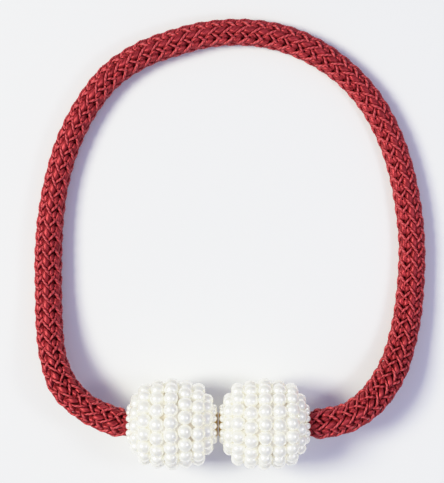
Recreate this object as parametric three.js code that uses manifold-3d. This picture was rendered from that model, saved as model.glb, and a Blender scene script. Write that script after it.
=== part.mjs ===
// Braided curtain tieback with a magnetic clasp, lying closed in a loop on a flat surface.
// One braided rope joins two balls that are covered with rings of imitation pearls.
// Sizes are in millimetres, with +Z up. The origin is on the surface, midway between the balls.
// +X runs along the two balls' common axis, and +Y points to the far side of the loop.

import * as THREE from 'three';
import { mergeVertices } from 'three/addons/utils/BufferGeometryUtils.js';
import Module from 'manifold-3d';

// Clearance between pieces that are glued or pressed together
const CLEARANCE = 0.3;

// Balls: the lowest pearl is pressed flat where it rests
const BALL_CENTRE_X = 15.1;
const BALL_CENTRE_Z = 14.6;

// Rings of pearls on a ball, from its rope end to its magnet end.
// offset: along the ball's axis from its centre
// radius: of the circle through the pearls' centres
// pearl, count: diameter and number of the pearls
// left, right: turn of the ring's first pearl from the top of either ball, in degrees
const PEARL_RINGS = [
  { offset: -13.6, radius: 5.3, pearl: 2.2, count: 14, left: 0, right: 0 },
  { offset: -11.3, radius: 7.9, pearl: 4.1, count: 12, left: -3, right: 5.2 },
  { offset: -8.6, radius: 11.1, pearl: 4.3, count: 16, left: 10.1, right: -8.4 },
  { offset: -4.5, radius: 12.1, pearl: 4.35, count: 17, left: -5.8, right: -4.8 },
  { offset: 0, radius: 12.8, pearl: 4.35, count: 19, left: -8.5, right: -6.2 },
  { offset: 4.5, radius: 12.1, pearl: 4.35, count: 17, left: 4.6, right: -2 },
  { offset: 8.6, radius: 11.1, pearl: 4.3, count: 16, left: 9.4, right: -7.6 },
  { offset: 11.3, radius: 7.9, pearl: 4.1, count: 12, left: 10.1, right: -8.4 },
  { offset: 13.6, radius: 5.3, pearl: 2.2, count: 14, left: 0, right: 0 },
];

// Shape of a ring: each pearl's crown has four corners, and the core closes the gap to the next pearl.
// Heights and places along the axis are shares of a pearl's radius, places around it of half its pitch.
const CROWN_ALONG = 0.5;
const CROWN_AROUND = 0.4;
const CROWN_HEIGHT = 0.9;
const RING_HALF_WIDTH = 1.07;
const CORE_SINK = 0.4;

// Magnet discs, face to face across the middle plane
const MAGNET_RADIUS = 4.1;
const MAGNET_THICKNESS = 2.4;
const MAGNET_CHAMFER = 0.4;
const MAGNET_SIDES = 24;
const SOCKET_SIDES = 24;

// Rope: 24 strands braided two over two, so 12 columns of slanted strands run along it
const ROPE_COLUMNS = 12;
const ROPE_SIDES = 2 * ROPE_COLUMNS;
const STRAND_STEP = 2.43;
const ROPE_NECK_RADIUS = 4.1;

// Depth of the braid's points below the rope's outer radius
const CREST_HIGH = 0;
const CREST_LOW = 0.6;
const BORDER_HIGH = 0.25;
const BORDER_LOW = 0.8;

// Distance of the crests on from the borders, in steps along the rope
const CREST_LEAD = 0.5;

// Route of the rope's centre from the left ball round to the right one, with its outer radius r
const ROUTE = [
  { x: -21.4, y: 0, z: 14.6, r: ROPE_NECK_RADIUS },
  { x: -25.4, y: 0, z: 14.6, r: ROPE_NECK_RADIUS },
  { x: -30.2, y: 0.1, z: 14.6, r: ROPE_NECK_RADIUS },
  { x: -32.4, y: 0.5, z: 14.5, r: 4.8 },
  { x: -35.8, y: 1.6, z: 14.2, r: 4.7 },
  { x: -43.2, y: 5.1, z: 13.2, r: 4.5 },
  { x: -50.6, y: 11.9, z: 11.3, r: 4.7 },
  { x: -54.5, y: 21.2, z: 8.5, r: 4.5 },
  { x: -56, y: 31.1, z: 6.1, r: 4.6 },
  { x: -56.5, y: 43, z: 4.5, r: 4.6 },
  { x: -56.6, y: 55, z: 3.9, r: 4.7 },
  { x: -55.9, y: 67, z: 3.7, r: 4.5 },
  { x: -53.9, y: 79.5, z: 3.5, r: 4.3 },
  { x: -50.2, y: 92, z: 3.5, r: 4.3 },
  { x: -44.3, y: 103.9, z: 3.5, r: 4.3 },
  { x: -36.3, y: 114.3, z: 3.5, r: 4.4 },
  { x: -25.9, y: 121.5, z: 3.6, r: 4.5 },
  { x: -14.4, y: 125.8, z: 3.7, r: 4.6 },
  { x: -3, y: 128.6, z: 3.7, r: 4.5 },
  { x: 9, y: 129.2, z: 3.7, r: 4.5 },
  { x: 21.1, y: 127.3, z: 3.8, r: 4.6 },
  { x: 32.1, y: 122.7, z: 3.8, r: 4.6 },
  { x: 42.1, y: 115.7, z: 3.7, r: 4.4 },
  { x: 50.4, y: 106.6, z: 3.6, r: 4.4 },
  { x: 56.6, y: 95.6, z: 3.6, r: 4.4 },
  { x: 60.8, y: 83.6, z: 3.6, r: 4.4 },
  { x: 63.3, y: 71, z: 3.7, r: 4.5 },
  { x: 64.5, y: 59, z: 3.7, r: 4.5 },
  { x: 64.2, y: 47, z: 3.9, r: 4.6 },
  { x: 63.1, y: 36.1, z: 4.6, r: 4.7 },
  { x: 60.8, y: 25.9, z: 6, r: 4.7 },
  { x: 57.1, y: 16.3, z: 8.3, r: 4.9 },
  { x: 51, y: 8, z: 11, r: 4.9 },
  { x: 43.4, y: 2.5, z: 13.1, r: 4.8 },
  { x: 36.5, y: 0.6, z: 14.3, r: 4.9 },
  { x: 32.4, y: 0.1, z: 14.6, r: 4.9 },
  { x: 30.2, y: 0, z: 14.6, r: ROPE_NECK_RADIUS },
  { x: 25.4, y: 0, z: 14.6, r: ROPE_NECK_RADIUS },
  { x: 21.4, y: 0, z: 14.6, r: ROPE_NECK_RADIUS },
];
const ROUTE_DIVISIONS = 2000;

// Reach of the cutting tools past the faces that they cut
const CUT_REACH = 40;

const UP = new THREE.Vector3(0, 0, 1);

const wasm = await Module();
wasm.setup();

// Closed solid of a geometry, with its shared points merged and its collapsed triangles left out
function solidOf(geometry) {
  const bare = geometry.clone();
  bare.deleteAttribute('normal');
  bare.deleteAttribute('uv');
  const welded = mergeVertices(bare);
  const corners = [];
  for (let n = 0; n < welded.index.count; n += 3) {
    const [a, b, c] = welded.index.array.slice(n, n + 3);
    if (a !== b && b !== c && c !== a) corners.push(a, b, c);
  }
  return new wasm.Manifold(new wasm.Mesh({
    numProp: 3,
    vertProperties: new Float32Array(welded.attributes.position.array),
    triVerts: new Uint32Array(corners),
  }));
}

function geometryOf(solid) {
  const cut = solid.getMesh();
  const geometry = new THREE.BufferGeometry();
  geometry.setAttribute('position', new THREE.BufferAttribute(cut.vertProperties, 3));
  geometry.setIndex(new THREE.BufferAttribute(cut.triVerts, 1));
  geometry.computeVertexNormals();
  return geometry;
}

// Round bar along X between two places, for cutting a socket
function bar(radius, from, to) {
  return new THREE.CylinderGeometry(radius, radius, Math.abs(to - from), SOCKET_SIDES)
    .rotateZ(Math.PI / 2)
    .translate((from + to) / 2, 0, 0);
}

// Capped tube with its points set one by one by place(column, row, isAxis)
function shapedTube(columns, rows, place) {
  const geometry = new THREE.CylinderGeometry(1, 1, 1, columns, rows);
  const position = geometry.attributes.position;
  const columnAngle = (2 * Math.PI) / columns;
  const unit = new THREE.Vector3();
  for (let n = 0; n < position.count; n += 1) {
    unit.fromBufferAttribute(position, n);
    const column = (Math.round(Math.atan2(unit.x, unit.z) / columnAngle) + columns) % columns;
    const row = Math.round((0.5 - unit.y) * rows);
    const isAxis = unit.x === 0 && unit.z === 0;
    const point = place(column, row, isAxis);
    position.setXYZ(n, point.x, point.y, point.z);
  }
  return geometry;
}

// Ring of pearls on its slice of the core, as a scalloped disc with its axis along X.
// Around it, a column of points in each gap is followed by the two sides of a pearl's crown.
function pearlRing(ring, centreX, firstTurn) {
  const pearlRadius = ring.pearl / 2;
  const halfPitch = Math.PI / ring.count;
  const columnTurns = [-halfPitch, -CROWN_AROUND * halfPitch, CROWN_AROUND * halfPitch];
  const rowPlaces = [-RING_HALF_WIDTH, -CROWN_ALONG, CROWN_ALONG, RING_HALF_WIDTH];
  const lastRow = rowPlaces.length - 1;
  const crownRadius = ring.radius + CROWN_HEIGHT * pearlRadius;
  const endRadius = ring.radius - CORE_SINK * pearlRadius;
  return shapedTube(columnTurns.length * ring.count, lastRow, (column, row, isAxis) => {
    const part = column % columnTurns.length;
    const pearlNumber = (column - part) / columnTurns.length;
    const turn = firstTurn + 2 * halfPitch * pearlNumber + columnTurns[part];
    let radius = part === 0 ? ring.radius : crownRadius;
    if (row === 0 || row === lastRow) radius = endRadius;
    if (isAxis) radius = 0;
    return new THREE.Vector3(
      centreX - rowPlaces[row] * pearlRadius,
      -radius * Math.sin(turn),
      radius * Math.cos(turn),
    );
  });
}

// Ball about its own centre. toMagnet is the sign of X towards the magnet.
function pearlBall(toMagnet, turnColumn) {
  const rings = PEARL_RINGS.map((ring) => solidOf(
    pearlRing(ring, toMagnet * ring.offset, THREE.MathUtils.degToRad(ring[turnColumn])),
  ));
  let ball = rings.reduce((joined, ring) => joined.add(ring));
  const socketFloor = BALL_CENTRE_X - ropeEndX() + CLEARANCE;
  const recessFloor = BALL_CENTRE_X - CLEARANCE / 2 - MAGNET_THICKNESS - CLEARANCE;
  const socket = bar(ROPE_NECK_RADIUS + CLEARANCE, toMagnet * socketFloor, -toMagnet * CUT_REACH);
  const recess = bar(MAGNET_RADIUS + CLEARANCE, toMagnet * recessFloor, toMagnet * CUT_REACH);
  const below = new THREE.BoxGeometry(CUT_REACH, CUT_REACH, CUT_REACH)
    .translate(0, 0, -BALL_CENTRE_Z - CUT_REACH / 2);
  for (const cutter of [socket, recess, below]) {
    ball = ball.subtract(solidOf(cutter));
  }
  return geometryOf(ball);
}

// Distance of the rope's end faces from the middle plane
function ropeEndX() {
  return Math.abs(ROUTE[0].x);
}

// Chamfered disc about its own middle, with its axis along X
function magnetDisc() {
  const half = MAGNET_THICKNESS / 2;
  const inner = MAGNET_RADIUS - MAGNET_CHAMFER;
  const profile = [
    new THREE.Vector2(0, -half),
    new THREE.Vector2(inner, -half),
    new THREE.Vector2(MAGNET_RADIUS, MAGNET_CHAMFER - half),
    new THREE.Vector2(MAGNET_RADIUS, half - MAGNET_CHAMFER),
    new THREE.Vector2(inner, half),
    new THREE.Vector2(0, half),
  ];
  return geometryOf(solidOf(new THREE.LatheGeometry(profile, MAGNET_SIDES).rotateZ(-Math.PI / 2)));
}

// Depth of the braid below the outer radius. Even sides are crests along the middle of a column,
// odd sides its borders, where the strands dive under the next column's.
function braidDepth(side, row) {
  if (side % 2 === 0) return row % 2 === 0 ? CREST_HIGH : CREST_LOW;
  const border = (side - 1) / 2;
  return (row + border) % 2 === 1 ? BORDER_HIGH : BORDER_LOW;
}

// Outer radius at a share of the rope's length
function ropeRadius(curve, share) {
  const along = curve.getUtoTmapping(share) * (ROUTE.length - 1);
  const before = Math.min(Math.floor(along), ROUTE.length - 2);
  return THREE.MathUtils.lerp(ROUTE[before].r, ROUTE[before + 1].r, along - before);
}

// Rope as a capped tube bent along its route, with the braid raised in its points.
// Crests stand half a step on from the borders, and each face is split along its strand's slant.
// The underside is flat where the rope lies on the surface.
function braidedRope() {
  const curve = new THREE.CatmullRomCurve3(
    ROUTE.map((point) => new THREE.Vector3(point.x, point.y, point.z)),
    false,
    'catmullrom',
  );
  curve.arcLengthDivisions = ROUTE_DIVISIONS;
  const rows = Math.round(curve.getLength() / STRAND_STEP);
  const sideAngle = (2 * Math.PI) / ROPE_SIDES;
  const geometry = shapedTube(ROPE_SIDES, rows, (side, row, isAxis) => {
    const isEnd = row === 0 || row === rows;
    const lead = side % 2 === 0 && !isEnd ? CREST_LEAD : 0;
    const share = (row + lead) / rows;
    const radius = isAxis ? 0 : ropeRadius(curve, share) - braidDepth(side, row);
    const tangent = curve.getTangentAt(share);
    const across = new THREE.Vector3().crossVectors(UP, tangent).normalize();
    const raised = new THREE.Vector3().crossVectors(tangent, across);
    const point = curve.getPointAt(share)
      .addScaledVector(across, radius * Math.sin(side * sideAngle))
      .addScaledVector(raised, radius * Math.cos(side * sideAngle));
    point.z = Math.max(point.z, 0);
    return point;
  });
  const corners = geometry.index.array;
  const cornersPerFace = 6;
  for (let side = 0; side < ROPE_SIDES; side += 2) {
    for (let row = 0; row < rows; row += 1) {
      const first = cornersPerFace * (side * rows + row);
      const [a, b, d, , c] = corners.slice(first, first + cornersPerFace);
      corners.set([a, b, c, a, c, d], first);
    }
  }
  return geometryOf(solidOf(geometry));
}

const ropeFloss = new THREE.MeshStandardMaterial({ color: 0x8f1f28, roughness: 0.7, metalness: 0 });
const pearl = new THREE.MeshStandardMaterial({ color: 0xefeadd, roughness: 0.25, metalness: 0 });
const goldTone = new THREE.MeshStandardMaterial({ color: 0xc8a24a, roughness: 0.3, metalness: 1 });

function piece(name, geometry, material, place) {
  const mesh = new THREE.Mesh(geometry, material);
  mesh.name = name;
  mesh.position.set(...place);
  return mesh;
}

const magnetX = CLEARANCE / 2 + MAGNET_THICKNESS / 2;

const tieback = new THREE.Group();
tieback.add(piece('braided_rope', braidedRope(), ropeFloss, [0, 0, 0]));
for (const [hand, sign] of [['left', -1], ['right', 1]]) {
  const ballPlace = [sign * BALL_CENTRE_X, 0, BALL_CENTRE_Z];
  const magnetPlace = [sign * magnetX, 0, BALL_CENTRE_Z];
  tieback.add(piece(`pearl_ball_${hand}`, pearlBall(-sign, hand), pearl, ballPlace));
  tieback.add(piece(`magnet_${hand}`, magnetDisc(), goldTone, magnetPlace));
}

export default tieback;
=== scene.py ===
import math

import bmesh
import bpy
import numpy as np
from mathutils import Matrix, Vector


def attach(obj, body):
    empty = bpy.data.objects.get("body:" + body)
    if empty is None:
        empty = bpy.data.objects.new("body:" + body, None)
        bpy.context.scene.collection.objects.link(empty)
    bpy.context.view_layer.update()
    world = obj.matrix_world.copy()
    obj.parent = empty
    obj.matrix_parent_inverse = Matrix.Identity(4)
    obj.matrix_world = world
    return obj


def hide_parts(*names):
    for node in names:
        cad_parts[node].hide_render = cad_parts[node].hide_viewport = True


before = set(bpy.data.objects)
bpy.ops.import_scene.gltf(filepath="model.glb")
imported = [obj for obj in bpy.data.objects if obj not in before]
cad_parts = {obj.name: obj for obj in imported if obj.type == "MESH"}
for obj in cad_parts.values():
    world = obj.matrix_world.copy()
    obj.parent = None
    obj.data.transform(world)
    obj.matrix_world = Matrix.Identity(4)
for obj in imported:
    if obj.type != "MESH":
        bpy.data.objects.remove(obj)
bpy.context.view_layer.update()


# Camera: it hangs half a metre above the surface and looks straight down on the loop.
# The lens follows from the picture's height and the size of one pixel on the surface. Bright light rolls
# off softly towards white: each of the tones pairs an amount of light with the brightness shown for it.
PICTURE_HEIGHT = 483
PIXEL_ON_SURFACE = 0.00033584
CAMERA_HEIGHT = 0.5
CAMERA_OVER = (0.00124, 0.0595)
BRIGHTEST = 2.4
TONES = [(0.2, 0.2), (0.45, 0.45), (0.75, 0.71), (1.08, 0.89), (1.6, 0.975)]
CURVE_OF_ALL_COLOURS = 3

collection = bpy.context.scene.collection
lens = bpy.data.cameras.new("camera")
lens.lens = lens.sensor_width * CAMERA_HEIGHT / (PICTURE_HEIGHT * PIXEL_ON_SURFACE)
camera = bpy.data.objects.new("camera", lens)
camera.location = (*CAMERA_OVER, CAMERA_HEIGHT)
collection.objects.link(camera)
bpy.context.scene.camera = camera

view = bpy.context.scene.view_settings
view.view_transform = "Standard"
view.use_curve_mapping = True
tone = view.curve_mapping
tone.white_level = (BRIGHTEST, BRIGHTEST, BRIGHTEST)
for light, shown in TONES:
    tone.curves[CURVE_OF_ALL_COLOURS].points.new(light / BRIGHTEST, shown)
tone.update()


# Rope core: a bundle of filler yarn that the braid is worked around.
# It is seen only in the pits between strands, and its near-black red is painted shade for those pits; its
# ends sit in the balls.
ROPE_ROUTE = np.array([
    # x, y and z of the rope's middle, and its outer radius
    (-0.0214, 0.0, 0.0146, 0.0041),
    (-0.0254, 0.0, 0.0146, 0.0041),
    (-0.0302, 0.0001, 0.0146, 0.0041),
    (-0.0324, 0.0005, 0.0145, 0.0048),
    (-0.0358, 0.0016, 0.0142, 0.0047),
    (-0.0432, 0.0051, 0.0132, 0.0045),
    (-0.0506, 0.0119, 0.0113, 0.0047),
    (-0.0545, 0.0212, 0.0085, 0.0045),
    (-0.056, 0.0311, 0.0061, 0.0046),
    (-0.0565, 0.043, 0.0045, 0.0046),
    (-0.0566, 0.055, 0.0039, 0.0047),
    (-0.0559, 0.067, 0.0037, 0.0045),
    (-0.0539, 0.0795, 0.0035, 0.0043),
    (-0.0502, 0.092, 0.0035, 0.0043),
    (-0.0443, 0.1039, 0.0035, 0.0043),
    (-0.0363, 0.1143, 0.0035, 0.0044),
    (-0.0259, 0.1215, 0.0036, 0.0045),
    (-0.0144, 0.1258, 0.0037, 0.0046),
    (-0.003, 0.1286, 0.0037, 0.0045),
    (0.009, 0.1292, 0.0037, 0.0045),
    (0.0211, 0.1273, 0.0038, 0.0046),
    (0.0321, 0.1227, 0.0038, 0.0046),
    (0.0421, 0.1157, 0.0037, 0.0044),
    (0.0504, 0.1066, 0.0036, 0.0044),
    (0.0566, 0.0956, 0.0036, 0.0044),
    (0.0608, 0.0836, 0.0036, 0.0044),
    (0.0633, 0.071, 0.0037, 0.0045),
    (0.0645, 0.059, 0.0037, 0.0045),
    (0.0642, 0.047, 0.0039, 0.0046),
    (0.0631, 0.0361, 0.0046, 0.0047),
    (0.0608, 0.0259, 0.006, 0.0047),
    (0.0571, 0.0163, 0.0083, 0.0049),
    (0.051, 0.008, 0.011, 0.0049),
    (0.0434, 0.0025, 0.0131, 0.0048),
    (0.0365, 0.0006, 0.0143, 0.0049),
    (0.0324, 0.0001, 0.0146, 0.0049),
    (0.0302, 0.0, 0.0146, 0.0041),
    (0.0254, 0.0, 0.0146, 0.0041),
    (0.0214, 0.0, 0.0146, 0.0041),
])
STEPS_BETWEEN_POINTS = 16
ROPE_RADIUS = 0.0045
PRESSED_HEIGHT = 0.002
CORE_RADIUS = 0.0028
CORE_SIDES = 20
CORE_RINGS = 260
# painted shade: the core's colours are near-black red so that the pits between strands look shaded
CORE_PAINTED_SHADE_DARK = (0.05, 0.003, 0.003, 1)
CORE_PAINTED_SHADE_RED = (0.1, 0.006, 0.007, 1)
CORE_PAINTED_SHADES = [(0.35, CORE_PAINTED_SHADE_DARK), (0.65, CORE_PAINTED_SHADE_RED)]
CORE_GRAIN = 900


def smooth_through(points, steps):
    """Rows of a smooth curve through the given rows, each span in equal steps."""
    ahead = 2 * points[0] - points[1]
    beyond = 2 * points[-1] - points[-2]
    rows = np.vstack([ahead, points, beyond])
    share = np.arange(steps)[:, None] / steps
    spans = []
    for before, start, end, after in zip(rows, rows[1:], rows[2:], rows[3:]):
        leaving = (end - before) / 2
        arriving = (after - start) / 2
        bend = 3 * (end - start) - 2 * leaving - arriving
        turn_back = 2 * (start - end) + leaving + arriving
        spans.append(start + share * (leaving + share * (bend + share * turn_back)))
    return np.vstack([*spans, points[-1:]])


rope_line = smooth_through(ROPE_ROUTE, STEPS_BETWEEN_POINTS)
rope_middle = rope_line[:, :3]
rope_steps = np.linalg.norm(np.diff(rope_middle, axis=0), axis=1)
rope_along = np.concatenate([[0], np.cumsum(rope_steps)])
rope_length = rope_along[-1]
rope_ahead = np.gradient(rope_middle, rope_along, axis=0)
rope_ahead /= np.linalg.norm(rope_ahead, axis=1, keepdims=True)
rope_right = np.cross(rope_ahead, (0, 0, 1))
rope_right /= np.linalg.norm(rope_right, axis=1, keepdims=True)
rope_top = np.cross(rope_right, rope_ahead)


def along_rope(station, rows):
    """Values of the given rows at distances along the rope."""
    columns = [np.interp(station, rope_along, column) for column in rows.T]
    return np.stack(columns, axis=-1)


def on_rope(station, turn, reach):
    """Points at distances along the rope, turns from its top to its right and reaches from its middle.
    Where the rope lies on the surface, its underside is pressed flat."""
    middle = along_rope(station, rope_middle)
    fatness = along_rope(station, rope_line[:, 3:]) / ROPE_RADIUS
    outwards = np.cos(turn)[:, None] * along_rope(station, rope_top)
    outwards += np.sin(turn)[:, None] * along_rope(station, rope_right)
    points = middle + fatness * reach[:, None] * outwards
    height = points[:, 2]
    sunk = np.minimum(middle[:, 2] - fatness[:, 0] * ROPE_RADIUS, 0)
    pressed = (height - sunk) * PRESSED_HEIGHT / (PRESSED_HEIGHT - sunk)
    points[:, 2] = np.maximum(np.where(height < PRESSED_HEIGHT, pressed, height), 0)
    return points


def unit_tube(sides, rings):
    """Closed tube mesh of radius 1 and length 1 about the origin, along Z, in that many rings."""
    tube = bmesh.new()
    bmesh.ops.create_cone(tube, cap_ends=True, segments=sides, radius1=1, radius2=1, depth=1)
    long_edges = [edge for edge in tube.edges if edge.verts[0].co.z * edge.verts[1].co.z < 0]
    bmesh.ops.subdivide_edges(tube, edges=long_edges, cuts=rings)
    mesh = bpy.data.meshes.new("unit_tube")
    tube.to_mesh(mesh)
    tube.free()
    return mesh


def tube_places(mesh):
    """Angle and share of the length of each point of a unit tube."""
    points = np.array([vertex.co for vertex in mesh.vertices])
    return np.arctan2(points[:, 1], points[:, 0]), points[:, 2] + 0.5


def new_piece(name, mesh, material):
    """Object of a finished mesh, smooth, riding with the part."""
    mesh.name = name
    mesh.shade_smooth()
    mesh.materials.append(material)
    piece = bpy.data.objects.new(name, mesh)
    collection.objects.link(piece)
    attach(piece, "root")
    return piece


def new_material(name, **sockets):
    """Material with its shader's sockets set, its nodes, and a function that links them."""
    material = bpy.data.materials.new(name)
    material.use_nodes = True
    nodes = material.node_tree.nodes
    shader = nodes["Principled BSDF"]
    for socket, value in sockets.items():
        shader.inputs[socket.replace("_", " ")].default_value = value
    return material, nodes, material.node_tree.links.new


def add_node(nodes, kind, **sockets):
    """New shader node with its sockets set."""
    node = nodes.new("ShaderNode" + kind)
    for socket, value in sockets.items():
        node.inputs[socket.replace("_", " ")].default_value = value
    return node


def add_attribute(nodes, name):
    """New node that reads one of the mesh's own attributes."""
    node = nodes.new("ShaderNodeAttribute")
    node.attribute_name = name
    return node


def add_shades(nodes, stops):
    """New colour ramp through the given places and colours."""
    ramp = nodes.new("ShaderNodeValToRGB")
    while len(ramp.color_ramp.elements) < len(stops):
        ramp.color_ramp.elements.new(1)
    for element, (place, colour) in zip(ramp.color_ramp.elements, stops):
        element.position = place
        element.color = colour
    return ramp


def add_mottle(nodes, link, stops, scale, detail):
    """Base colour that goes unevenly through the given places and colours. Returns the noise behind it."""
    position = add_node(nodes, "TexCoord")
    grain = add_node(nodes, "TexNoise", Scale=scale, Detail=detail)
    shades = add_shades(nodes, stops)
    link(position.outputs["Object"], grain.inputs["Vector"])
    link(grain.outputs["Fac"], shades.inputs["Fac"])
    link(shades.outputs["Color"], nodes["Principled BSDF"].inputs["Base Color"])
    return grain


core_yarn_painted_shade, nodes, link = new_material("core_yarn_painted_shade", Roughness=0.9, Specular_IOR_Level=0.1)
add_mottle(nodes, link, CORE_PAINTED_SHADES, scale=CORE_GRAIN, detail=2)

core_mesh = unit_tube(CORE_SIDES, CORE_RINGS)
core_angle, core_share = tube_places(core_mesh)
core_reach = np.full(len(core_angle), CORE_RADIUS)
core_points = on_rope(core_share * rope_length, core_angle, core_reach)
core_mesh.vertices.foreach_set("co", core_points.ravel())
rope_core = new_piece("rope_core", core_mesh, core_yarn_painted_shade)


# Thin strands: twelve tightly twisted two-ply cords, six wound each way round the rope.
# They are braided in turn with the floss strands, two over and two under, and stand higher than those, in
# longer ridges. In the rope's two tight bends the strands of both kinds work loose.
STRANDS_EACH_WAY = 12
STRAND_PITCH = 0.00243
BRAID_LEAD = STRANDS_EACH_WAY * STRAND_PITCH
BRAID_RADIUS = 0.00355
BRAID_TURN = math.radians(8)
BRAID_SHIFT = 0.0023
STRAND_OFFSET = 0.25
STRAND_RINGS = 1240
WAYS = {"clockwise": 1, "anticlockwise": -1}
# how far a strand slides along the rope where it crosses others, for each way
SLIDE = {1: -0.00008, -1: 0.00022}
UNEVEN_WIDTH = 0.1
UNEVEN_LIFT = 0.4
UNEVEN_WAVES = (0.009, 0.034)
# distance along the rope to the middle of each tight bend, and half the bend's length
LOOSE_BENDS = [(0.028, 0.016), (0.338, 0.028)]
LOOSE_STRAY = 0.00035
LOOSE_LIFT = 0.3
LOOSE_THINNING = 0.2
LOOSE_WAVES = (0.004, 0.009)
WAVES_MIXED = 3
DIRECTION_STEP = 0.0001
MM_IN_A_METRE = 1000
TWIST_CORD = {
    # the first strand's number, sides of the section, and half the width and depth of a strand
    "first": 1,
    "sides": 8,
    "half_width": 0.0004,
    "half_depth": 0.00044,
    # reach of the strand's middle from the rope's for each way, and its rise and fall in the braid
    "middle": {1: 0.00359, -1: 0.00359},
    "swing": 0.00056,
    # how far it keeps to the top for each way, how sharply it dives, and how much narrower it gets there
    "stays_up": {1: 0.15, -1: 0.4},
    "steepness": 1.6,
    "squeeze": 0.0,
    # the section's shape, 1 being an ellipse and less a flatter band, and how level it stays across
    "flatness": 1.0,
    "level": 0.0,
    # how far it strays to the side, and the seed of its unevenness
    "stray": 0.00012,
    "seed": 11,
}
TWIST_PITCH_MM = 1.3
PLIES = 2
# painted shade and light: the cords' red is darker in the grooves between the plies and lighter on their
# ridges
TWIST_PAINTED_GROOVE_SHADE = (0.33, 0.024, 0.027, 1)
TWIST_PAINTED_RIDGE_LIGHT = (0.62, 0.078, 0.088, 1)
TWIST_PAINTED_RELIEF_SHADES = [(0.1, TWIST_PAINTED_GROOVE_SHADE), (0.8, TWIST_PAINTED_RIDGE_LIGHT)]


def wander(randoms, lengths):
    """Function of the distance along a strand that drifts unevenly between -1 and 1.
    It mixes waves whose lengths lie at random between the two given."""
    wave_lengths = randoms.uniform(*lengths, WAVES_MIXED)
    wave_starts = randoms.random(WAVES_MIXED)

    def drift(station):
        return np.sin(2 * math.pi * (station[:, None] / wave_lengths + wave_starts)).mean(axis=1)

    return drift


def braid(name, way, kind):
    """Mesh of the strands of one kind that wind one way round the rope, as numbered in the ways.
    The attribute strand keeps the place across a strand, the distance along it, both in millimetres, and
    the strand's number. The attribute around keeps the angle round the strand from its top, and the
    attribute lengthwise the direction in which the strand runs."""
    randoms = np.random.default_rng([kind["seed"], 1 + way])
    tube = unit_tube(kind["sides"], STRAND_RINGS)
    angle, share = tube_places(tube)
    lean = math.atan2(2 * math.pi * BRAID_RADIUS, BRAID_LEAD)
    columns = STRANDS_EACH_WAY / 2

    def height(turn):
        wave = way * np.sin(columns * turn) + kind["stays_up"][way]
        return np.maximum(np.tanh(kind["steepness"] * wave) / math.tanh(kind["steepness"]), -1)

    def lay_strand(number, station, fattening, lifting, straying, loosening):
        loose = np.zeros_like(station)
        for middle, half_length in LOOSE_BENDS:
            loose = np.maximum(loose, np.exp(-(((station - middle) / half_length) ** 2)))
        turns = (number - STRAND_OFFSET) / STRANDS_EACH_WAY + way * (station - BRAID_SHIFT) / BRAID_LEAD
        turn = 2 * math.pi * turns
        width = kind["half_width"] * (1 - kind["squeeze"] * (1 - height(turn)) / 2)
        width *= (1 + UNEVEN_WIDTH * fattening(station)) * (1 - LOOSE_THINNING * loose)
        across = -width * np.cos(angle)
        beside_turn = turn + across * math.cos(lean) / BRAID_RADIUS
        beside_station = station - way * across * math.sin(lean) - SLIDE[way] * np.cos(columns * turn)
        swing = kind["swing"] * (1 + LOOSE_LIFT * loose)
        wave_turn = beside_turn + kind["level"] * (turn - beside_turn)
        depth = kind["half_depth"] * np.sign(np.sin(angle)) * np.abs(np.sin(angle)) ** kind["flatness"]
        reach = kind["middle"][way] + swing * height(wave_turn) + depth
        reach += UNEVEN_LIFT * kind["stray"] * lifting(station)
        sideways = kind["stray"] * straying(station) + LOOSE_STRAY * loose * loosening(station)
        beside_turn += BRAID_TURN + sideways / BRAID_RADIUS
        return on_rope(beside_station, beside_turn, reach)

    strands = bmesh.new()
    points = []
    places = []
    directions = []
    station = share * rope_length
    for number in range(kind["first"], STRANDS_EACH_WAY, 2):
        strands.from_mesh(tube)
        waves = (UNEVEN_WAVES, UNEVEN_WAVES, UNEVEN_WAVES, LOOSE_WAVES)
        drifts = [wander(randoms, lengths) for lengths in waves]
        points.append(lay_strand(number, station, *drifts))
        ahead = lay_strand(number, station + DIRECTION_STEP, *drifts)
        direction = ahead - lay_strand(number, station - DIRECTION_STEP, *drifts)
        directions.append(direction / np.linalg.norm(direction, axis=1, keepdims=True))
        across_spread = -kind["half_width"] * np.cos(angle)
        along = station / math.cos(lean)
        across_mm = MM_IN_A_METRE * across_spread
        along_mm = MM_IN_A_METRE * along
        places.append(np.stack([across_mm, along_mm, np.full_like(along, number)], axis=1))
    mesh = bpy.data.meshes.new(name)
    strands.to_mesh(mesh)
    strands.free()
    mesh.vertices.foreach_set("co", np.concatenate(points).ravel())
    for attribute_name, rows in (("strand", places), ("lengthwise", directions)):
        attribute = mesh.attributes.new(attribute_name, "FLOAT_VECTOR", "POINT")
        attribute.data.foreach_set("vector", np.concatenate(rows).ravel())
    from_top = (angle + math.pi / 2) % (2 * math.pi) - math.pi
    around = mesh.attributes.new("around", "FLOAT", "POINT")
    around.data.foreach_set("value", np.tile(from_top, len(points)))
    return mesh


twist_cord, nodes, link = new_material(
    "twist_cord", Roughness=0.42, Specular_IOR_Level=0.8, Specular_Tint=(1.0, 0.36, 0.42, 1),
)
strand_place = add_attribute(nodes, "strand")
strand_parts = add_node(nodes, "SeparateXYZ")
strand_turn = add_attribute(nodes, "around")
both_plies = add_node(nodes, "Math")
both_plies.operation = "MULTIPLY"
both_plies.inputs[1].default_value = PLIES
lay = add_node(nodes, "Math")
lay.operation = "MULTIPLY_ADD"
lay.inputs[1].default_value = 2 * math.pi / TWIST_PITCH_MM
ridges = add_node(nodes, "Math")
ridges.operation = "SINE"
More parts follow.
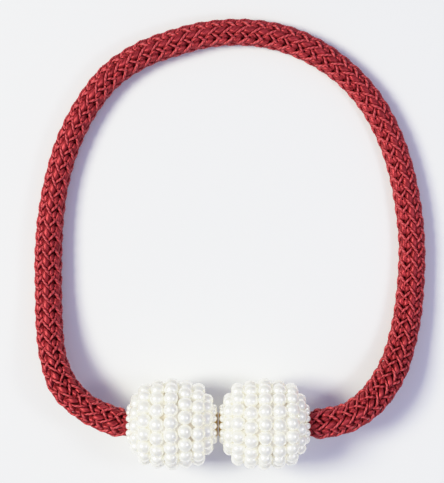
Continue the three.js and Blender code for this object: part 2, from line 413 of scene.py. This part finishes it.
# The colour follows the ply relief: painted shade in the grooves, painted light on the ridges.
ridge_height = add_node(nodes, "MapRange", From_Min=-1)
shades = add_shades(nodes, TWIST_PAINTED_RELIEF_SHADES)
relief = add_node(nodes, "Bump", Strength=0.5, Distance=0.00006)
link(strand_place.outputs["Vector"], strand_parts.inputs["Vector"])
link(strand_turn.outputs["Fac"], both_plies.inputs[0])
link(strand_parts.outputs["Y"], lay.inputs[0])
link(both_plies.outputs["Value"], lay.inputs[2])
link(lay.outputs["Value"], ridges.inputs[0])
link(ridges.outputs["Value"], ridge_height.inputs["Value"])
link(ridge_height.outputs["Result"], shades.inputs["Fac"])
link(ridge_height.outputs["Result"], relief.inputs["Height"])
link(shades.outputs["Color"], nodes["Principled BSDF"].inputs["Base Color"])
link(relief.outputs["Normal"], nodes["Principled BSDF"].inputs["Normal"])

for hand, way in WAYS.items():
    mesh = braid(f"thin_strands_{hand}", way, TWIST_CORD)
    new_piece(f"thin_strands_{hand}", mesh, twist_cord)


# Floss strands: twelve wide flat bundles of shiny loose filament, six wound each way round.
# They fill the braid between the thin strands, swell where they pass over and are drawn in where they dive.
# Those wound clockwise lie deeper than the others.
FLOSS = {
    "first": 0,
    "sides": 12,
    "half_width": 0.00088,
    "half_depth": 0.00042,
    "middle": {1: 0.00312, -1: 0.00326},
    "swing": 0.0007,
    "stays_up": {1: -0.35, -1: 0.1},
    "steepness": 1.9,
    "squeeze": 0.3,
    "flatness": 0.65,
    "level": 0.4,
    "stray": 0.0001,
    "seed": 5,
}
# grains to a millimetre across and along a strand, and from one strand to the next
FILAMENT_GRAIN = (5, 0.35, 1)
PATCH_GRAIN = (0.2, 0.25, 3)
PATCH_DARKEST = 0.8
PATCH_LIGHTEST = 1.15
FLOSS_DARK = (0.16, 0.006, 0.0065, 1)
FLOSS_LIGHT = (0.57, 0.056, 0.068, 1)
FLOSS_SHADES = [(0.3, FLOSS_DARK), (0.68, FLOSS_LIGHT)]

floss, nodes, link = new_material(
    "floss", Metallic=0.45, Roughness=0.42, Specular_IOR_Level=0.5, Specular_Tint=(1.0, 0.45, 0.52, 1),
    Anisotropic=0.8, Anisotropic_Rotation=0.25,
)
strand_place = add_attribute(nodes, "strand")
lengthwise = add_attribute(nodes, "lengthwise")
filaments = add_node(nodes, "Mapping", Scale=FILAMENT_GRAIN)
grain = add_node(nodes, "TexNoise", Scale=1, Detail=2)
shades = add_shades(nodes, FLOSS_SHADES)
patches = add_node(nodes, "Mapping", Scale=PATCH_GRAIN)
patch_grain = add_node(nodes, "TexNoise", Scale=1, Detail=1)
patch_value = add_node(
    nodes, "MapRange", From_Min=0.3, From_Max=0.7, To_Min=PATCH_DARKEST, To_Max=PATCH_LIGHTEST,
)
tint = add_node(nodes, "HueSaturation")
relief = add_node(nodes, "Bump", Strength=0.6, Distance=0.0001)
link(strand_place.outputs["Vector"], filaments.inputs["Vector"])
link(filaments.outputs["Vector"], grain.inputs["Vector"])
link(grain.outputs["Fac"], shades.inputs["Fac"])
link(strand_place.outputs["Vector"], patches.inputs["Vector"])
link(patches.outputs["Vector"], patch_grain.inputs["Vector"])
link(patch_grain.outputs["Fac"], patch_value.inputs["Value"])
link(patch_value.outputs["Result"], tint.inputs["Value"])
link(shades.outputs["Color"], tint.inputs["Color"])
link(grain.outputs["Fac"], relief.inputs["Height"])
link(tint.outputs["Color"], nodes["Principled BSDF"].inputs["Base Color"])
link(lengthwise.outputs["Vector"], nodes["Principled BSDF"].inputs["Tangent"])
link(relief.outputs["Normal"], nodes["Principled BSDF"].inputs["Normal"])

for hand, way in WAYS.items():
    mesh = braid(f"floss_strands_{hand}", way, FLOSS)
    new_piece(f"floss_strands_{hand}", mesh, floss)
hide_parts("braided_rope")


# Ball cores: bored balls of cream and tan plastic that the pearls are strung around, one on each rope end.
# They show only in the gaps between the pearls, and a slight glow stands in for the light that the pearls
# pass on into those gaps.
BALL_CENTRE_X = 0.0151
BALL_CENTRE_Z = 0.0146
TOWARDS_MAGNET = {"left": 1, "right": -1}
PEARL_RINGS = [
    # distance along the ball from its middle towards the magnet, radius of the ring through the pearls'
    # centres, diameter and number of the pearls, and turn of the first pearl on the left and the right ball
    (-0.0136, 0.0053, 0.0023, 14, 0.0, 0.0),
    (-0.0113, 0.0079, 0.00445, 12, -3.0, 5.2),
    (-0.0086, 0.0111, 0.00465, 16, 10.1, -8.4),
    (-0.0045, 0.0121, 0.00475, 17, -5.8, -4.8),
    (0.0, 0.0128, 0.0047, 19, -8.5, -6.2),
    (0.0045, 0.0121, 0.00475, 17, 4.6, -2.0),
    (0.0086, 0.0111, 0.00465, 16, 9.4, -7.6),
    (0.0113, 0.0079, 0.00445, 12, 10.1, -8.4),
    (0.0136, 0.0053, 0.0023, 14, 0.0, 0.0),
]
CORE_DEPTH = 0.0007
BORE_RADIUS = 0.0043
CORE_STEPS = 48
MERGE_DISTANCE = 1e-6
CORE_CREAM = (0.83, 0.8, 0.72, 1)
CORE_TAN = (0.52, 0.44, 0.32, 1)
PLASTIC_SHADES = [(0.5, CORE_CREAM), (0.66, CORE_TAN)]
CORE_PATCHES = 160

core_plastic, nodes, link = new_material(
    "core_plastic", Roughness=0.45, Emission_Color=(1.0, 0.96, 0.86, 1), Emission_Strength=0.15,
)
add_mottle(nodes, link, PLASTIC_SHADES, scale=CORE_PATCHES, detail=2)

for hand, to_magnet in TOWARDS_MAGNET.items():
    core = bmesh.new()
    outline = [(ring[0], max(ring[1] - CORE_DEPTH, BORE_RADIUS)) for ring in PEARL_RINGS]
    outline = [(outline[0][0], BORE_RADIUS), *outline, (outline[-1][0], BORE_RADIUS)]
    corners = [core.verts.new((along, 0, radius)) for along, radius in outline]
    for corner, following in zip(corners, [*corners[1:], corners[0]]):
        core.edges.new((corner, following))
    bmesh.ops.spin(
        core, geom=core.verts[:] + core.edges[:], axis=(1, 0, 0), cent=(0, 0, 0), angle=2 * math.pi,
        steps=CORE_STEPS, use_merge=True,
    )
    bmesh.ops.scale(core, verts=core.verts, vec=(to_magnet, 1, 1))
    bmesh.ops.translate(core, verts=core.verts, vec=(-to_magnet * BALL_CENTRE_X, 0, BALL_CENTRE_Z))
    bmesh.ops.remove_doubles(core, verts=core.verts, dist=MERGE_DISTANCE)
    bmesh.ops.recalc_face_normals(core, faces=core.faces)
    core_mesh = bpy.data.meshes.new(f"ball_core_{hand}")
    core.to_mesh(core_mesh)
    core.free()
    new_piece(f"ball_core_{hand}", core_mesh, core_plastic)


# Pearls: rings of cream imitation pearls strung round each ball, with a ring of small beads at either end.
# They are milky plastic with a pearly lacquer and a clear coat, packed until they touch and pressed flat
# where the ball rests. A slight glow stands in for the light that they pass from one to another.
PEARL_CUTS = 2
ROUNDED_SIZE = 0.924  # share of a bead's size that the rounding leaves
PEARL_SEED = 3
PEARL_WHITE = (0.85, 0.838, 0.755, 1)
PEARL_CREAM = (0.83, 0.812, 0.715, 1)
PEARL_SHADES = [(0, PEARL_CREAM), (1, PEARL_WHITE)]
PEARL_GLOW = (1.0, 0.985, 0.88, 1)

pearl_coat, nodes, link = new_material(
    "pearl_coat", Metallic=0.4, Roughness=0.36, Subsurface_Weight=1.0, Subsurface_Scale=1.0,
    Subsurface_Radius=(0.0036, 0.0034, 0.003), Coat_Weight=1.0, Coat_Roughness=0.12,
    Emission_Color=PEARL_GLOW, Emission_Strength=0.215,
)
bead_shade = add_attribute(nodes, "bead")
shades = add_shades(nodes, PEARL_SHADES)
link(bead_shade.outputs["Fac"], shades.inputs["Fac"])
link(shades.outputs["Color"], nodes["Principled BSDF"].inputs["Base Color"])

bead = bmesh.new()
bmesh.ops.create_cube(bead, size=2)
bmesh.ops.subdivide_edges(bead, edges=bead.edges, cuts=PEARL_CUTS, use_grid_fill=True)
for vertex in bead.verts:
    vertex.co = Vector([math.tan(offset * math.pi / 4) for offset in vertex.co]).normalized()
bead_mesh = bpy.data.meshes.new("bead")
bead.to_mesh(bead_mesh)
bead.free()
bead_points = np.array([vertex.co for vertex in bead_mesh.vertices])

randoms = np.random.default_rng(PEARL_SEED)
for hand, to_magnet in TOWARDS_MAGNET.items():
    beads = bmesh.new()
    points = []
    bead_shades = []
    for along, ring_radius, diameter, count, left_turn, right_turn in PEARL_RINGS:
        first_turn = math.radians(left_turn if hand == "left" else right_turn)
        for number in range(count):
            beads.from_mesh(bead_mesh)
            turn = first_turn + 2 * math.pi * number / count
            outwards = np.array((0, -math.sin(turn), math.cos(turn)))
            middle = np.array((to_magnet * (along - BALL_CENTRE_X), 0, BALL_CENTRE_Z))
            size = diameter / 2 / ROUNDED_SIZE
            tip = Matrix.Rotation(turn, 3, "X") @ Matrix.Rotation(randoms.uniform(0, 1), 3, "Y")
            points.append(middle + ring_radius * outwards + size * bead_points @ np.array(tip).T)
            bead_shades.append(np.full(len(bead_points), randoms.random()))
    points = np.concatenate(points)
    points[:, 2] = np.maximum(points[:, 2], 0)
    pearl_mesh = bpy.data.meshes.new(f"pearls_{hand}")
    beads.to_mesh(pearl_mesh)
    beads.free()
    pearl_mesh.vertices.foreach_set("co", points.ravel())
    shade = pearl_mesh.attributes.new("bead", "FLOAT", "POINT")
    shade.data.foreach_set("value", np.concatenate(bead_shades))
    pearls = new_piece(f"pearls_{hand}", pearl_mesh, pearl_coat)
    rounding = pearls.modifiers.new("rounding", "SUBSURF")
    rounding.levels = 1
    rounding.render_levels = 1
    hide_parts(f"pearl_ball_{hand}")


# Magnets: two thin discs with a gold-toned plating, each pressed into the inner end of its ball.
# The plating is slightly scuffed, unevenly all over.
GOLD = (0.66, 0.45, 0.16, 1)
GOLD_DULL = (0.5, 0.36, 0.16, 1)
GOLD_SHADES = [(0.4, GOLD), (0.7, GOLD_DULL)]
SMOOTH_GOLD = 0.22
SCUFFED_GOLD = 0.42
SCUFFS = 700

gold_plate, nodes, link = new_material("gold_plate", Metallic=1.0)
scuffs = add_mottle(nodes, link, GOLD_SHADES, scale=SCUFFS, detail=3)
wear = add_node(nodes, "MapRange", From_Min=0.3, From_Max=0.7, To_Min=SMOOTH_GOLD, To_Max=SCUFFED_GOLD)
link(scuffs.outputs["Fac"], wear.inputs["Value"])
link(wear.outputs["Result"], nodes["Principled BSDF"].inputs["Roughness"])
for name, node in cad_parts.items():
    if name.startswith("magnet"):
        node.data.materials.clear()
        node.data.materials.append(gold_plate)


# Floor: a plain pale table top under the loop, matt and almost white.
# Its faint unevenness keeps it from looking drawn.
FLOOR_HALF = 1.5
FLOOR_LOW = (0.885, 0.891, 0.91, 1)
FLOOR_HIGH = (0.905, 0.909, 0.925, 1)
FLOOR_SHADES = [(0.3, FLOOR_LOW), (0.7, FLOOR_HIGH)]
FLOOR_MOTTLE = 9

floor_paint, nodes, link = new_material("floor_paint", Roughness=0.8)
add_mottle(nodes, link, FLOOR_SHADES, scale=FLOOR_MOTTLE, detail=4)
sheet = bmesh.new()
bmesh.ops.create_grid(sheet, x_segments=1, y_segments=1, size=FLOOR_HALF)
floor_mesh = bpy.data.meshes.new("floor")
sheet.to_mesh(floor_mesh)
sheet.free()
floor_mesh.materials.append(floor_paint)
floor = bpy.data.objects.new("floor", floor_mesh)
collection.objects.link(floor)


# Studio light: a large soft box on the left, a small weak one close by on the right, and pale blue light
# from all round that is brighter overhead. The soft boxes face the middle of the loop.
LOOP_MIDDLE = Vector((0.0, 0.06, 0.0))
SKY_AT_HORIZON = 0.088
SKY_OVERHEAD = 0.493
SKY_BLUE = (0.8, 0.79, 1.27, 1)

world = bpy.data.worlds.new("studio")
world.use_nodes = True
nodes = world.node_tree.nodes
link = world.node_tree.links.new
sky = nodes["Background"]
sky.inputs["Color"].default_value = SKY_BLUE
direction = add_node(nodes, "TexCoord")
direction_parts = add_node(nodes, "SeparateXYZ")
height = add_node(nodes, "MapRange", To_Min=SKY_AT_HORIZON, To_Max=SKY_OVERHEAD)
link(direction.outputs["Generated"], direction_parts.inputs["Vector"])
link(direction_parts.outputs["Z"], height.inputs["Value"])
link(height.outputs["Result"], sky.inputs["Strength"])
bpy.context.scene.world = world


def soft_box(name, direction, distance, size, power, colour):
    """Square area light that faces the loop's middle from a direction and a distance."""
    light = bpy.data.lights.new(name, "AREA")
    light.size = size
    light.energy = power
    light.color = colour
    lamp = bpy.data.objects.new(name, light)
    lamp.location = LOOP_MIDDLE + distance * Vector(direction).normalized()
    lamp.rotation_mode = "QUATERNION"
    lamp.rotation_quaternion = (LOOP_MIDDLE - lamp.location).to_track_quat("-Z", "Y")
    collection.objects.link(lamp)


soft_box("key", direction=(-0.89, 0.1, 1.0), distance=1.4, size=0.5, power=20.6, colour=(0.98, 1, 0.8))
soft_box(
    "second", direction=(0.2, -0.05, 0.27), distance=0.34, size=0.07, power=0.2, colour=(0.92, 0.96, 1.0),
)
